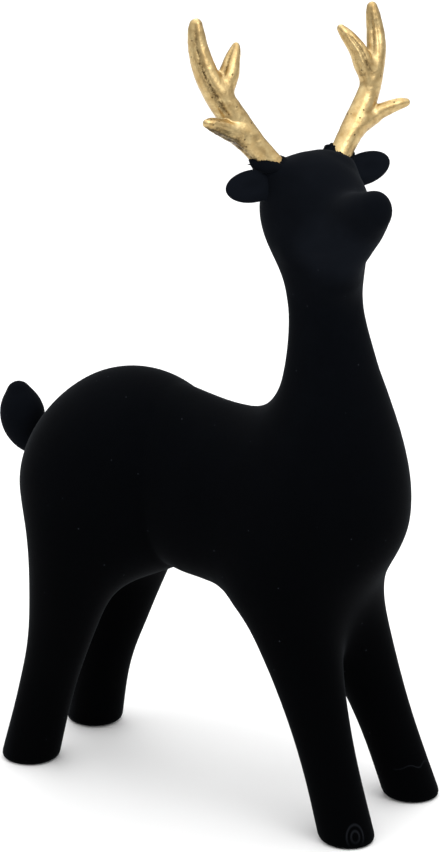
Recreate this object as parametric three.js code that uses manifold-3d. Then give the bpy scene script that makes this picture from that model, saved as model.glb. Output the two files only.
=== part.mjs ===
import * as THREE from 'three';
import { mergeVertices } from 'three/addons/utils/BufferGeometryUtils.js';
import Module from 'manifold-3d';

// Standing reindeer figure: a black flocked casting with two gilded antlers set in its head.
// Millimetres, +Z up. The deer faces +X, its left side is +Y and its feet stand on z = 0.
// The head is turned to the deer's right and looks slightly up.

const wasm = await Module();
wasm.setup();

// Trunk: stations along the back line, each [x, height, radius], narrower than it is deep
const TRUNK_NARROWING = 0.88;
const TRUNK = {
  rump: [-46.6, 159.8, 54],
  loin: [-30, 165, 44.7],
  barrel: [8, 157.7, 46.4],
  chest: [63.3, 163.5, 43.7],
};

// Neck: from inside the chest up to the skull, each [x, height, radius]
const NECK = [
  [63.3, 163.5, 37.2],
  [70.4, 198, 32.5],
  [69.5, 231, 23.6],
  [66.3, 262, 18.6],
  [63.2, 290, 19.8],
  [58.4, 315.8, 17.5],
];

// Legs: [x, distance from the middle, height, radius], from inside the trunk down past the sole
const FRONT_LEG = [
  [55.9, 20.1, 122, 24.9],
  [72.3, 25.1, 80, 17.6],
  [86.8, 29.3, 40, 13.9],
  [103.4, 33.7, -8, 14],
];
const REAR_LEG = [
  [-63.7, 16.6, 152, 33],
  [-63.7, 28.1, 125, 25.8],
  [-74.8, 28.9, 75, 16.9],
  [-85.7, 27.7, 38, 14.4],
  [-96.2, 31.1, -8, 15.1],
];

// Tail: a short leaf that stands up behind the rump, each [x, height, radius]
const TAIL = [
  [-92, 154, 7],
  [-106.1, 160.5, 5.8],
  [-115, 168.2, 9.8],
  [-117.2, 178, 12.2],
  [-119.2, 188.6, 6.9],
];
const TAIL_SIDES = 12;

// Head, measured from the middle of the skull: x forward, y to the deer's left, z up
const HEAD_AT = [58.4, -0.2, 315.8];
const HEAD_TURN = -29;
const HEAD_LIFT = 10.9;
const SKULL = [25, 24.3, 26.2];
const MUZZLE = [
  [4, 0, -4, 20],
  [28, 0, -6.5, 15.5],
  [51, 0, -0.4, 9.8],
];
const THROAT = [
  [50, 0, -5.5, 7.6],
  [39, 0, -12.5, 9.8],
  [27, 0, -22, 10.6],
  [17, 0, -31, 10],
];
const JAW_EDGE = [
  [8, 17, -17, 4.5],
  [26, 13.5, -16.3, 4],
  [40, 8.5, -12.2, 3.5],
  [52, 3.5, -6, 3.5],
];
const NOSE_AT = [59, 0.6, 1];
const NOSE_SIZE = [8.2, 7.9, 9.3];

// How softly each form runs into the next
const NECK_BLEND = 23.5;
const HEAD_BLEND = 16;
const FRONT_LEG_BLEND = 30;
const REAR_LEG_BLEND = 24;
const MUZZLE_BLEND = 14;
const THROAT_BLEND = 10;
const JAW_BLEND = 5;
const NOSE_BLEND = 4;

// Ears: rounded leaves held straight out, slightly dished in front
const RIGHT_EAR_AT = [-0.8, 31.8, 14.1];
const LEFT_EAR_AT = [-0.8, 30.8, 14.6];
const EAR_SIZE = [3.3, 15.8, 8.1];
const EAR_DISH_OFFSET = [10, 1, 0];
const EAR_DISH_SIZE = [8, 12.5, 7.1];

// Antlers: [x, distance from the middle of the head, z, radius]; the first station is the rim
const RIGHT_ANTLER = {
  beam: [
    [-2, 22.4, 26.2, 6.3],
    [-4.1, 30.2, 36.7, 6.9],
    [-6.2, 37.7, 50, 7.2],
    [-7.3, 43.7, 60.7, 6.8],
    [-9.1, 48, 71.8, 6.1],
    [-10.4, 49.7, 82.5, 5.2],
    [-10.6, 50, 90.2, 4.4],
    [-10.4, 49.8, 94.2, 3.3],
  ],
  inner: [
    [-7, 40.9, 60.5, 5.5],
    [-7.2, 36.5, 67.8, 5.2],
    [-8.2, 33.3, 74.8, 4.2],
    [-8.9, 30.8, 79.4, 3],
    [-9.2, 29.7, 81.8, 2],
  ],
  outer: [
    [-4.8, 34.5, 43, 5.2],
    [-2.3, 41.2, 42.6, 5],
    [-0.3, 46.4, 44.2, 4.4],
    [2.3, 52.6, 46.7, 3.5],
    [3.3, 55.8, 47.6, 2.4],
  ],
};
const LEFT_ANTLER = {
  beam: [
    [-2.1, 20.6, 25.8, 5.9],
    [-3.6, 28.3, 35.5, 6.2],
    [-5, 34.8, 43.4, 6.1],
    [-5.6, 38.7, 49.3, 5.8],
    [-5.8, 42.3, 56.8, 5.5],
    [-7.9, 47.4, 69.9, 5.2],
    [-10, 49.2, 79.6, 4.7],
    [-10.2, 49, 87.7, 3.9],
    [-10.1, 48.8, 92.2, 2.9],
  ],
  inner: [
    [-5.3, 41.2, 58.2, 4.8],
    [-5.6, 38.6, 65, 5],
    [-6.6, 36.6, 72.2, 4.5],
    [-8.3, 32.4, 79.8, 3.4],
    [-9.3, 29.6, 83.8, 2.1],
  ],
  outer: [
    [-4.9, 34.1, 39.2, 4.9],
    [-3.8, 37.9, 39.3, 4.5],
    [-1.7, 44.1, 41.8, 4],
    [1.5, 52.1, 44.2, 3.2],
    [2.8, 56, 44.5, 2.1],
  ],
};
// Flutes run up each rod: [degrees from the front towards the outside, share of the radius]
const FLUTES = [
  [20, 0.16],
  [140, 0.12],
  [-110, 0.12],
];
const FLUTE_HALF_WIDTH = 32;
const FLUTE_FADE = 0.2;
const BEAM_SIDES = 16;
const TINE_SIDES = 12;
const RINGS_PER_SPAN = 2;
const TIP_RINGS = 3;

// Antler sockets: a collar of the casting stands up round each shank
const SHANK_LENGTH = 6;
const SHANK_GAP = 0.4;
const COLLAR_RADIUS = 7.9;
const COLLAR_FOOT_RADIUS = 9.4;
const COLLAR_DEPTH = 14;
const COLLAR_LIP = 0.6;
const COLLAR_SIDES = 20;
const SOCKET_CLEARANCE = 3;

// Spacing of the grid lines that the surfaces are worked out on
const BODY_GRID = {
  x: [[-140, 30, 10], [30, 126, 7]],
  y: [[-60, 60, 7.8]],
  z: [[-24, 115, 16], [115, 225, 8.8], [225, 350, 6.2]],
};
const EAR_GRID = 2.7;
const GROUND_SIZE = 400;
const SPAN_STEPS = 6;
const RELAX_ROUNDS = 8;
const RELAX_SHARE = 0.6;
const EAR_RIM_BLEND = 1;
const MERGE_DISTANCE = 1e-4;
const SEAM_TOLERANCE = 0.03;

const FLOCK = new THREE.MeshStandardMaterial({ color: 0x14161a, roughness: 0.95, metalness: 0 });
const GOLD = new THREE.MeshStandardMaterial({ color: 0xc9a465, roughness: 0.38, metalness: 1 });

const radians = THREE.MathUtils.degToRad;

const lengthOf = (x, y, z) => Math.sqrt(x * x + y * y + z * z);

// Signed distances: below zero inside a form, above zero outside it

function softUnion(a, b, reach) {
  const h = Math.max(reach - Math.abs(a - b), 0) / reach;
  return Math.min(a, b) - h * h * reach * 0.25;
}

function softCommon(a, b, reach) {
  return -softUnion(-a, -b, reach);
}

// A smooth line through stations of [x, y, z, radius], cut into short straight spans
function smoothLine(stations, steps) {
  const mirror = (a, b) => a.map((value, n) => 2 * value - b[n]);
  const last = stations.length - 1;
  const all = [
    mirror(stations[0], stations[1]),
    ...stations,
    mirror(stations[last], stations[last - 1]),
  ];
  const line = [];
  for (let n = 1; n <= last; n += 1) {
    const [a, b, c, d] = all.slice(n - 1, n + 3);
    for (let step = 0; step < steps; step += 1) {
      const t = step / steps;
      line.push(b.map((value, m) => 0.5 * (
        2 * value + (c[m] - a[m]) * t
        + (2 * a[m] - 5 * value + 4 * c[m] - d[m]) * t ** 2
        + (3 * value - a[m] - 3 * c[m] + d[m]) * t ** 3
      )));
    }
  }
  line.push(stations[last]);
  return line;
}

// A limb of changing radius round a smooth line, narrowed from side to side: each span is the
// cone that touches the balls at its two ends
function limb(stations, narrowing = 1) {
  const line = smoothLine(stations, SPAN_STEPS);
  const spans = line.slice(1).map((end, n) => {
    const start = line[n];
    const along = [end[0] - start[0], (end[1] - start[1]) / narrowing, end[2] - start[2]];
    const length = lengthOf(...along);
    const taper = (start[3] - end[3]) / length;
    const lean = taper / Math.sqrt(1 - taper * taper);
    return { start, direction: along.map((value) => value / length), length, taper, lean };
  });
  return ([x, y, z]) => {
    let nearest = Infinity;
    for (const { start, direction, length, taper, lean } of spans) {
      const dx = x - start[0];
      const dy = (y - start[1]) / narrowing;
      const dz = z - start[2];
      const height = dx * direction[0] + dy * direction[1] + dz * direction[2];
      const across = Math.sqrt(Math.max(dx * dx + dy * dy + dz * dz - height * height, 0));
      const ball = Math.min(Math.max(height - lean * across, 0), length);
      nearest = Math.min(nearest, lengthOf(across, height - ball, 0) - start[3] + taper * ball);
    }
    return nearest;
  };
}

function ellipsoid(centre, radii) {
  return (point) => {
    const [x, y, z] = point.map((value, n) => (value - centre[n]) / radii[n]);
    const length = lengthOf(x, y, z);
    const slope = lengthOf(x / radii[0], y / radii[1], z / radii[2]);
    return length * (length - 1) / Math.max(slope, 1e-9);
  };
}

// Stations in the middle plane, given as [x, height, radius], and those of one side's leg
const inMiddle = (stations) => stations.map(([x, z, radius]) => [x, 0, z, radius]);
const onSide = (side, stations) => stations.map(([x, y, ...rest]) => [x, side * y, ...rest]);

// The head's own frame: placed on the neck, lifted, then turned
const headPose = new THREE.Group();
headPose.position.set(...HEAD_AT);
headPose.rotation.set(0, -radians(HEAD_LIFT), radians(HEAD_TURN), 'ZYX');
headPose.updateMatrix();
const intoHead = headPose.matrix.clone().invert().elements;

const skull = ellipsoid([0, 0, 0], SKULL);
const muzzle = limb(MUZZLE);
const throat = limb(THROAT);
const jawEdges = [-1, 1].map((side) => limb(onSide(side, JAW_EDGE)));
const nose = ellipsoid(NOSE_AT, NOSE_SIZE);

function head([x, y, z]) {
  const local = [0, 1, 2].map((row) => (
    intoHead[row] * x + intoHead[row + 4] * y + intoHead[row + 8] * z + intoHead[row + 12]
  ));
  let form = softUnion(skull(local), muzzle(local), MUZZLE_BLEND);
  form = softUnion(form, throat(local), THROAT_BLEND);
  jawEdges.forEach((edge) => { form = softUnion(form, edge(local), JAW_BLEND); });
  return softUnion(form, nose(local), NOSE_BLEND);
}

const trunk = limb(inMiddle(Object.values(TRUNK)), TRUNK_NARROWING);
const neck = limb(inMiddle(NECK));
const frontLegs = [-1, 1].map((side) => limb(onSide(side, FRONT_LEG)));
const rearLegs = [-1, 1].map((side) => limb(onSide(side, REAR_LEG)));

function deer(point) {
  let form = softUnion(trunk(point), neck(point), NECK_BLEND);
  form = softUnion(form, head(point), HEAD_BLEND);
  frontLegs.forEach((leg) => { form = softUnion(form, leg(point), FRONT_LEG_BLEND); });
  rearLegs.forEach((leg) => { form = softUnion(form, leg(point), REAR_LEG_BLEND); });
  return form;
}

// One ear, in the head's frame: a flat ellipsoid with a dish scooped from its front
function ear(side, [x, y, z]) {
  const [forward, outward, up] = EAR_DISH_OFFSET;
  const leaf = ellipsoid([x, side * y, z], EAR_SIZE);
  const dish = ellipsoid([x + forward, side * (y + outward), z + up], EAR_DISH_SIZE);
  return (point) => softCommon(leaf(point), -dish(point), EAR_RIM_BLEND);
}

// Where one antler's rim is, and which way its shank points out of the head
function antlerRim(side, { beam }) {
  const [first, second] = onSide(side, beam.slice(0, 2)).map(([x, y, z]) => new THREE.Vector3(x, y, z));
  return { centre: first, outward: second.sub(first).normalize() };
}

// Surface of a form where its distance is zero

function gridLines(stretches) {
  const lines = [stretches[0][0]];
  stretches.forEach(([from, to, spacing]) => {
    const count = Math.ceil((to - from) / spacing);
    for (let n = 1; n <= count; n += 1) lines.push(from + (to - from) * n / count);
  });
  return lines;
}

// Even lines round stations of [x, y, z, radius]
function gridRound(stations, spacing) {
  return [0, 1, 2].map((axis) => {
    const low = Math.min(...stations.map((station) => station[axis] - station[3])) - spacing;
    const high = Math.max(...stations.map((station) => station[axis] + station[3])) + spacing;
    return gridLines([[low, high, spacing]]);
  });
}

const STEP = 0.02;

function slopeAt(form, point) {
  return [0, 1, 2].map((axis) => {
    const ahead = [...point];
    const behind = [...point];
    ahead[axis] += STEP;
    behind[axis] -= STEP;
    return (form(ahead) - form(behind)) / (2 * STEP);
  });
}

// The nearest point of the surface, by Newton's method along the slope
function ontoSurface(form, point) {
  let at = point;
  for (let round = 0; round < 3; round += 1) {
    const slope = slopeAt(form, at);
    const square = slope.reduce((sum, value) => sum + value * value, 0) || 1;
    const reach = form(at) / square;
    at = at.map((value, axis) => value - slope[axis] * reach);
  }
  return at;
}

// One corner for each cell that the surface crosses, and one quad for each crossed grid edge
function skinOf(form, lines) {
  const size = lines.map((line) => line.length);
  const strides = [1, size[0], size[0] * size[1]];
  const value = new Float64Array(size[0] * size[1] * size[2]);
  const eachNode = (visit) => {
    for (let k = 0; k < size[2]; k += 1) {
      for (let j = 0; j < size[1]; j += 1) {
        for (let i = 0; i < size[0]; i += 1) visit([i, j, k], i + j * strides[1] + k * strides[2]);
      }
    }
  };
  eachNode((node, index) => { value[index] = form(node.map((n, axis) => lines[axis][n])); });

  const cornerOf = new Int32Array(value.length).fill(-1);
  const corners = [];
  eachNode((node, index) => {
    if (node.some((n, axis) => n >= size[axis] - 1)) return;
    const sum = [0, 0, 0];
    let crossings = 0;
    for (let axis = 0; axis < 3; axis += 1) {
      const [b, c] = [(axis + 1) % 3, (axis + 2) % 3];
      for (let edge = 0; edge < 4; edge += 1) {
        const shift = [0, 0, 0];
        shift[b] = edge % 2;
        shift[c] = edge >> 1;
        const start = index + shift[b] * strides[b] + shift[c] * strides[c];
        const [v0, v1] = [value[start], value[start + strides[axis]]];
        if ((v0 < 0) !== (v1 < 0)) {
          const t = v0 / (v0 - v1);
          const from = node.map((n, m) => lines[m][n + shift[m]]);
          from[axis] += t * (lines[axis][node[axis] + 1] - lines[axis][node[axis]]);
          from.forEach((coordinate, m) => { sum[m] += coordinate; });
          crossings += 1;
        }
      }
    }
    if (crossings > 0) {
      cornerOf[index] = corners.length;
      corners.push(sum.map((total) => total / crossings));
    }
  });

  const quads = [];
  eachNode((node, index) => {
    for (let axis = 0; axis < 3; axis += 1) {
      const [b, c] = [(axis + 1) % 3, (axis + 2) % 3];
      if (node[axis] >= size[axis] - 1 || node[b] === 0 || node[c] === 0) continue;
      const inside = value[index] < 0;
      if (inside === (value[index + strides[axis]] < 0)) continue;
      const ring = [
        index - strides[b] - strides[c],
        index - strides[c],
        index,
        index - strides[b],
      ].map((cell) => cornerOf[cell]);
      quads.push(inside ? ring : ring.reverse());
    }
  });
  return { corners: relaxed(form, corners, quads), quads };
}

// Corners evened out along the surface, each towards the middle of its neighbours
function relaxed(form, corners, quads) {
  const neighbours = corners.map(() => new Set());
  quads.forEach((ring) => ring.forEach((corner, n) => {
    const next = ring[(n + 1) % 4];
    neighbours[corner].add(next);
    neighbours[next].add(corner);
  }));
  let places = corners.map((corner) => ontoSurface(form, corner));
  for (let round = 0; round < RELAX_ROUNDS; round += 1) {
    places = places.map((place, n) => {
      const near = [...neighbours[n]].map((other) => places[other]);
      const middle = place.map((value, axis) => {
        const mean = near.reduce((sum, other) => sum + other[axis], 0) / near.length;
        return (1 - RELAX_SHARE) * value + RELAX_SHARE * mean;
      });
      return ontoSurface(form, middle);
    });
  }
  return places;
}

// A closed geometry of two triangles a quad, parted along the shorter diagonal
function surface(form, lines) {
  const { corners, quads } = skinOf(form, lines);
  const far = (a, b) => lengthOf(...corners[a].map((value, axis) => value - corners[b][axis]));
  const index = quads.flatMap(([a, b, c, d]) => (
    far(a, c) < far(b, d) ? [a, b, c, a, c, d] : [b, c, d, b, d, a]
  ));
  const geometry = new THREE.BufferGeometry();
  geometry.setAttribute('position', new THREE.Float32BufferAttribute(corners.flat(), 3));
  geometry.setIndex(index);
  return geometry;
}

// Rods: rings of corners round a smooth line, with a round tip, for the antlers and the tail

// Share of the radius that is left at an angle from the front, towards the outside
function flutedShare(angle) {
  return FLUTES.reduce((share, [at, depth]) => {
    const turn = angle - radians(at);
    const away = Math.abs(Math.atan2(Math.sin(turn), Math.cos(turn))) / radians(FLUTE_HALF_WIDTH);
    return share - depth * Math.max(0, 1 - away * away) ** 2;
  }, 1);
}

// Rings along the line, each with its middle, direction, radius and place from 0 to 1
function ringsAlong(stations) {
  const line = smoothLine(stations, RINGS_PER_SPAN);
  const place = (n) => new THREE.Vector3(...line[n]);
  const last = line.length - 1;
  const rings = line.map((station, n) => ({
    middle: place(n),
    direction: place(Math.min(n + 1, last)).sub(place(Math.max(n - 1, 0))).normalize(),
    radius: station[3],
    along: n / last,
  }));
  const { middle, direction, radius } = rings[last];
  for (let n = 1; n < TIP_RINGS; n += 1) {
    const angle = 0.5 * Math.PI * n / TIP_RINGS;
    rings.push({
      middle: middle.clone().addScaledVector(direction, radius * Math.sin(angle)),
      direction,
      radius: radius * Math.cos(angle),
      along: 1,
    });
  }
  return { rings, tip: middle.clone().addScaledVector(direction, radius) };
}

function rod(side, stations, sides, fluting = 1) {
  const { rings, tip } = ringsAlong(onSide(side, stations));
  const corners = [];
  rings.forEach(({ middle, direction, radius, along }) => {
    const front = new THREE.Vector3(1, 0, 0).projectOnPlane(direction).normalize();
    const across = direction.clone().cross(front);
    const fade = Math.min(1, Math.min(along, 1 - along) / FLUTE_FADE);
    for (let n = 0; n < sides; n += 1) {
      const angle = 2 * Math.PI * n / sides;
      const share = 1 + fluting * fade * (flutedShare(side * angle) - 1);
      const corner = middle.clone()
        .addScaledVector(front, radius * share * Math.cos(angle))
        .addScaledVector(across, radius * share * Math.sin(angle));
      corners.push(...corner.toArray());
    }
  });
  const base = corners.length / 3;
  corners.push(...rings[0].middle.toArray(), ...tip.toArray());
  const index = [];
  const at = (ring, n) => ring * sides + n % sides;
  for (let n = 0; n < sides; n += 1) {
    index.push(base, at(0, n + 1), at(0, n));
    for (let ring = 1; ring < rings.length; ring += 1) {
      index.push(at(ring - 1, n), at(ring - 1, n + 1), at(ring, n + 1));
      index.push(at(ring - 1, n), at(ring, n + 1), at(ring, n));
    }
    index.push(at(rings.length - 1, n), at(rings.length - 1, n + 1), base + 1);
  }
  const geometry = new THREE.BufferGeometry();
  geometry.setAttribute('position', new THREE.Float32BufferAttribute(corners, 3));
  geometry.setIndex(index);
  return geometry;
}

// Solids that can be joined and cut

function solidOf(geometry) {
  const plain = geometry.clone();
  plain.deleteAttribute('normal');
  plain.deleteAttribute('uv');
  const merged = mergeVertices(plain, MERGE_DISTANCE);
  return new wasm.Manifold(new wasm.Mesh({
    numProp: 3,
    vertProperties: new Float32Array(merged.attributes.position.array),
    triVerts: new Uint32Array(merged.index.array),
  }));
}

function geometryOf(solid) {
  const mesh = solid.simplify(SEAM_TOLERANCE).getMesh();
  const geometry = new THREE.BufferGeometry();
  geometry.setAttribute('position', new THREE.BufferAttribute(mesh.vertProperties, 3));
  geometry.setIndex(new THREE.BufferAttribute(mesh.triVerts, 1));
  geometry.computeVertexNormals();
  return geometry;
}

// A turned piece standing on an antler's rim: z = 0 of the profile is the rim, +z points outward
function turnedOnRim(profile, { centre, outward }) {
  const geometry = new THREE.LatheGeometry(
    profile.map(([radius, height]) => new THREE.Vector2(radius, height)),
    COLLAR_SIDES,
  );
  geometry.applyQuaternion(new THREE.Quaternion().setFromUnitVectors(new THREE.Vector3(0, 1, 0), outward));
  geometry.translate(...centre.toArray());
  return geometry;
}

function collarProfile() {
  return [
    [0, -COLLAR_DEPTH],
    [COLLAR_FOOT_RADIUS, -COLLAR_DEPTH],
    [COLLAR_RADIUS + COLLAR_LIP, -COLLAR_DEPTH / 3],
    [COLLAR_RADIUS, -COLLAR_LIP],
    [COLLAR_RADIUS - COLLAR_LIP, 0],
    [0, 0],
  ];
}

function socketProfile(shankRadius) {
  const radius = shankRadius + SHANK_GAP;
  return [
    [0, -SHANK_LENGTH - SHANK_GAP],
    [radius, -SHANK_LENGTH - SHANK_GAP],
    [radius, SOCKET_CLEARANCE],
    [0, SOCKET_CLEARANCE],
  ];
}

function earSurface(side, [x, y, z]) {
  const lines = gridRound([[x, side * y, z, Math.max(...EAR_SIZE)]], EAR_GRID);
  return surface(ear(side, [x, y, z]), lines);
}

function makeBody() {
  const lines = [gridLines(BODY_GRID.x), gridLines(BODY_GRID.y), gridLines(BODY_GRID.z)];
  const ground = new THREE.BoxGeometry(GROUND_SIZE, GROUND_SIZE, GROUND_SIZE);
  ground.translate(0, 0, -GROUND_SIZE / 2);
  const onHead = (geometry) => solidOf(geometry.applyMatrix4(headPose.matrix));
  let solid = solidOf(surface(deer, lines)).subtract(solidOf(ground));
  solid = solid.add(solidOf(rod(1, inMiddle(TAIL), TAIL_SIDES, 0)));
  const sides = [
    [-1, RIGHT_EAR_AT, RIGHT_ANTLER],
    [1, LEFT_EAR_AT, LEFT_ANTLER],
  ];
  sides.forEach(([side, earAt, stations]) => {
    const rim = antlerRim(side, stations);
    solid = solid.add(onHead(earSurface(side, earAt)));
    solid = solid.add(onHead(turnedOnRim(collarProfile(), rim)));
    solid = solid.subtract(onHead(turnedOnRim(socketProfile(stations.beam[0][3]), rim)));
  });
  const mesh = new THREE.Mesh(geometryOf(solid), FLOCK);
  mesh.name = 'flocked_body';
  return mesh;
}

// One antler, in the head's frame: a beam that starts in its socket, and two tines
function makeAntler(name, side, stations) {
  const { centre, outward } = antlerRim(1, stations);
  const end = centre.addScaledVector(outward, -SHANK_LENGTH);
  const beam = [[...end.toArray(), stations.beam[0][3]], ...stations.beam];
  let solid = solidOf(rod(side, beam, BEAM_SIDES));
  [stations.inner, stations.outer].forEach((tine) => {
    solid = solid.add(solidOf(rod(side, tine, TINE_SIDES)));
  });
  const mesh = new THREE.Mesh(geometryOf(solid), GOLD);
  mesh.name = name;
  return mesh;
}

const body = makeBody();
const rightAntler = makeAntler('right_antler', -1, RIGHT_ANTLER);
const leftAntler = makeAntler('left_antler', 1, LEFT_ANTLER);
headPose.add(rightAntler, leftAntler);

const figure = new THREE.Group();
figure.add(body, headPose);

// The origin is under the middle of the whole figure's box
figure.updateMatrixWorld(true);
const box = new THREE.Box3().setFromObject(figure, true);
const middle = box.getCenter(new THREE.Vector3());
figure.position.set(-middle.x, -middle.y, 0);

export default figure;
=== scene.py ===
import bpy
import numpy as np
from mathutils import Matrix


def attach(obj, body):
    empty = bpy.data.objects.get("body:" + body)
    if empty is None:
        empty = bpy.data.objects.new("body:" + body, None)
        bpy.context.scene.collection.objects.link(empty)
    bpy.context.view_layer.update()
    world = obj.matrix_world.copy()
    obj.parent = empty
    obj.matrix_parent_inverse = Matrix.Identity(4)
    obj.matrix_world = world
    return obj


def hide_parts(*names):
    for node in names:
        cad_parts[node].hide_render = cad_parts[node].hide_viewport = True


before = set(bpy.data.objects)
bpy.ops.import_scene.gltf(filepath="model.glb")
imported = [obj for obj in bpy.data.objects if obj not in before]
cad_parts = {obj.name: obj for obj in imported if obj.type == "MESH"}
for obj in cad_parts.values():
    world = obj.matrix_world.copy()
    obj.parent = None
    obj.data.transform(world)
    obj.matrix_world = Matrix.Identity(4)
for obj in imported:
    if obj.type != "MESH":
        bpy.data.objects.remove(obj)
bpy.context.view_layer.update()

# Where everything is measured from
# The figure is drawn in millimetres from the middle of its trunk, on the ground.
# The frame's origin is under the middle of the whole figure's box, a few millimetres away.
MM = 0.001
TRUNK_MIDDLE = np.array([6.177, -2.516, 0.0])


def in_frame(points_mm):
    """Points of the figure in millimetres, moved to the frame's origin and turned into metres."""
    return (np.asarray(points_mm, float) + TRUNK_MIDDLE) * MM


# Camera
# A long lens off the deer's right front, looking a little down at the middle of the figure.
# Its focal length is stated in pixels of a picture 440 wide and 852 high.
PICTURE_WIDTH = 440
FOCAL_PIXELS = 4000
VIEW_AZIMUTH = 32.0
VIEW_ELEVATION = 18.8
VIEW_DISTANCE = 2000
VIEW_TARGET = (16.1, -18.5, 200)
SENSOR_WIDTH = 36
FARTHEST_SEEN = 50

azimuth, elevation = np.radians([VIEW_AZIMUTH, VIEW_ELEVATION])
towards_camera = np.array([
    np.sin(azimuth) * np.cos(elevation),
    -np.cos(azimuth) * np.cos(elevation),
    np.sin(elevation),
])
picture_right = np.array([np.cos(azimuth), np.sin(azimuth), 0])
picture_up = np.cross(towards_camera, picture_right)
camera_data = bpy.data.cameras.new("camera")
camera_data.sensor_fit = "HORIZONTAL"
camera_data.sensor_width = SENSOR_WIDTH
camera_data.lens = SENSOR_WIDTH * FOCAL_PIXELS / PICTURE_WIDTH
camera_data.clip_end = FARTHEST_SEEN
camera = bpy.data.objects.new("camera", camera_data)
pose = np.eye(4)
pose[:3, :3] = np.stack([picture_right, picture_up, towards_camera], axis=1)
pose[:3, 3] = in_frame(np.array(VIEW_TARGET) + VIEW_DISTANCE * towards_camera)
camera.matrix_world = Matrix(pose.tolist())
bpy.context.collection.objects.link(camera)
bpy.context.scene.camera = camera


# Studio
# A white floor under a sky that is brightest overhead, and two soft boxes above the figure.
# The floor throws light up under the belly and the jaw, as it does in the photograph.
FLOOR_HALF = 6.0
FLOOR_COLOUR = (0.93, 0.93, 0.93)
SKY_COLOUR = (1.0, 1.0, 1.0)
SKY_AT_HORIZON = 0.3
SKY_OVERHEAD = 1.95

bpy.context.scene.view_settings.view_transform = "Standard"
world = bpy.data.worlds.new("studio_sky")
world.use_nodes = True
sky = world.node_tree.nodes["Background"]
sky.inputs["Color"].default_value = (*SKY_COLOUR, 1)
direction = world.node_tree.nodes.new("ShaderNodeTexCoord")
height = world.node_tree.nodes.new("ShaderNodeSeparateXYZ")
brightness = world.node_tree.nodes.new("ShaderNodeMapRange")
brightness.inputs["To Min"].default_value = SKY_AT_HORIZON
brightness.inputs["To Max"].default_value = SKY_OVERHEAD
world.node_tree.links.new(direction.outputs["Generated"], height.inputs["Vector"])
world.node_tree.links.new(height.outputs["Z"], brightness.inputs["Value"])
world.node_tree.links.new(brightness.outputs["Result"], sky.inputs["Strength"])
bpy.context.scene.world = world


def soft_box(name, place, aim, size, power):
    """A square area light at a place in metres, turned to face the aim."""
    data = bpy.data.lights.new(name, "AREA")
    data.size = size
    data.energy = power
    light = bpy.data.objects.new(name, data)
    away = np.array(place, float) - np.array(aim, float)
    away /= np.linalg.norm(away)
    side = np.cross([0, 0, 1], away)
    side /= np.linalg.norm(side)
    turn = np.eye(4)
    turn[:3, :3] = np.stack([side, np.cross(away, side), away], axis=1)
    turn[:3, 3] = place
    light.matrix_world = Matrix(turn.tolist())
    bpy.context.collection.objects.link(light)


soft_box("key_box", place=(0.34, -0.1, 0.68), aim=(0.06, 0, 0.33), size=0.2, power=0.48)
soft_box("back_box", place=(-0.3, 0.45, 0.95), aim=(0, 0, 0.3), size=0.5, power=1.6)

floor_mesh = bpy.data.meshes.new("studio_floor")
edge = FLOOR_HALF
floor_corners = [(-edge, -edge, 0), (edge, -edge, 0), (edge, edge, 0), (-edge, edge, 0)]
floor_mesh.from_pydata(floor_corners, [], [(0, 1, 2, 3)])
floor_paint = bpy.data.materials.new("floor_paint")
floor_paint.use_nodes = True
floor_shader = floor_paint.node_tree.nodes["Principled BSDF"]
floor_shader.inputs["Base Color"].default_value = (*FLOOR_COLOUR, 1)
floor_shader.inputs["Roughness"].default_value = 1.0
floor_shader.inputs["Specular IOR Level"].default_value = 0.0
floor_mesh.materials.append(floor_paint)
floor = bpy.data.objects.new("studio_floor", floor_mesh)
bpy.context.collection.objects.link(floor)


# Flocked body
# One hollow resin casting: trunk, legs, neck, head, ears and tail, covered in short black flock.
# Its surface is where a distance, run together softly from all of those forms, is zero.
BODY_CELL = 1.5
BODY_LOW = (-140, -62, -6)
BODY_HIGH = (130, 62, 352)
TRUNK_NARROWING = 0.88
TRUNK = [(-46.6, 159.8, 54), (-30, 165, 44.7), (8, 157.7, 46.4), (63.3, 163.5, 43.7)]
NECK = [
    (63.3, 163.5, 37.2), (70.4, 198, 32.5), (69.5, 231, 23.6),
    (66.3, 262, 18.6), (63.2, 290, 19.8), (58.4, 315.8, 17.5),
]
FRONT_LEG = [
    (55.9, 20.1, 122, 24.9),
    (72.3, 25.1, 80, 17.6),
    (86.8, 29.3, 40, 13.9),
    (103.4, 33.7, -8, 14),
]
REAR_LEG = [
    (-63.7, 16.6, 152, 33),
    (-63.7, 28.1, 125, 25.8),
    (-74.8, 28.9, 75, 16.9),
    (-85.7, 27.7, 38, 14.4),
    (-96.2, 31.1, -8, 15.1),
]
TAIL = [
    (-92, 154, 7), (-106.1, 160.5, 5.6), (-115, 168.4, 9.3),
    (-117.2, 178, 11.7), (-119.2, 188.4, 6.6),
]
SOLE_EDGE = 4.0


def rotation(axis, degrees):
    """The matrix that turns a column by this many degrees round one axis."""
    cos, sin = np.cos(np.radians(degrees)), np.sin(np.radians(degrees))
    turn = {
        "x": [[1, 0, 0], [0, cos, -sin], [0, sin, cos]],
        "y": [[cos, 0, sin], [0, 1, 0], [-sin, 0, cos]],
        "z": [[cos, -sin, 0], [sin, cos, 0], [0, 0, 1]],
    }
    return np.array(turn[axis])


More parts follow.
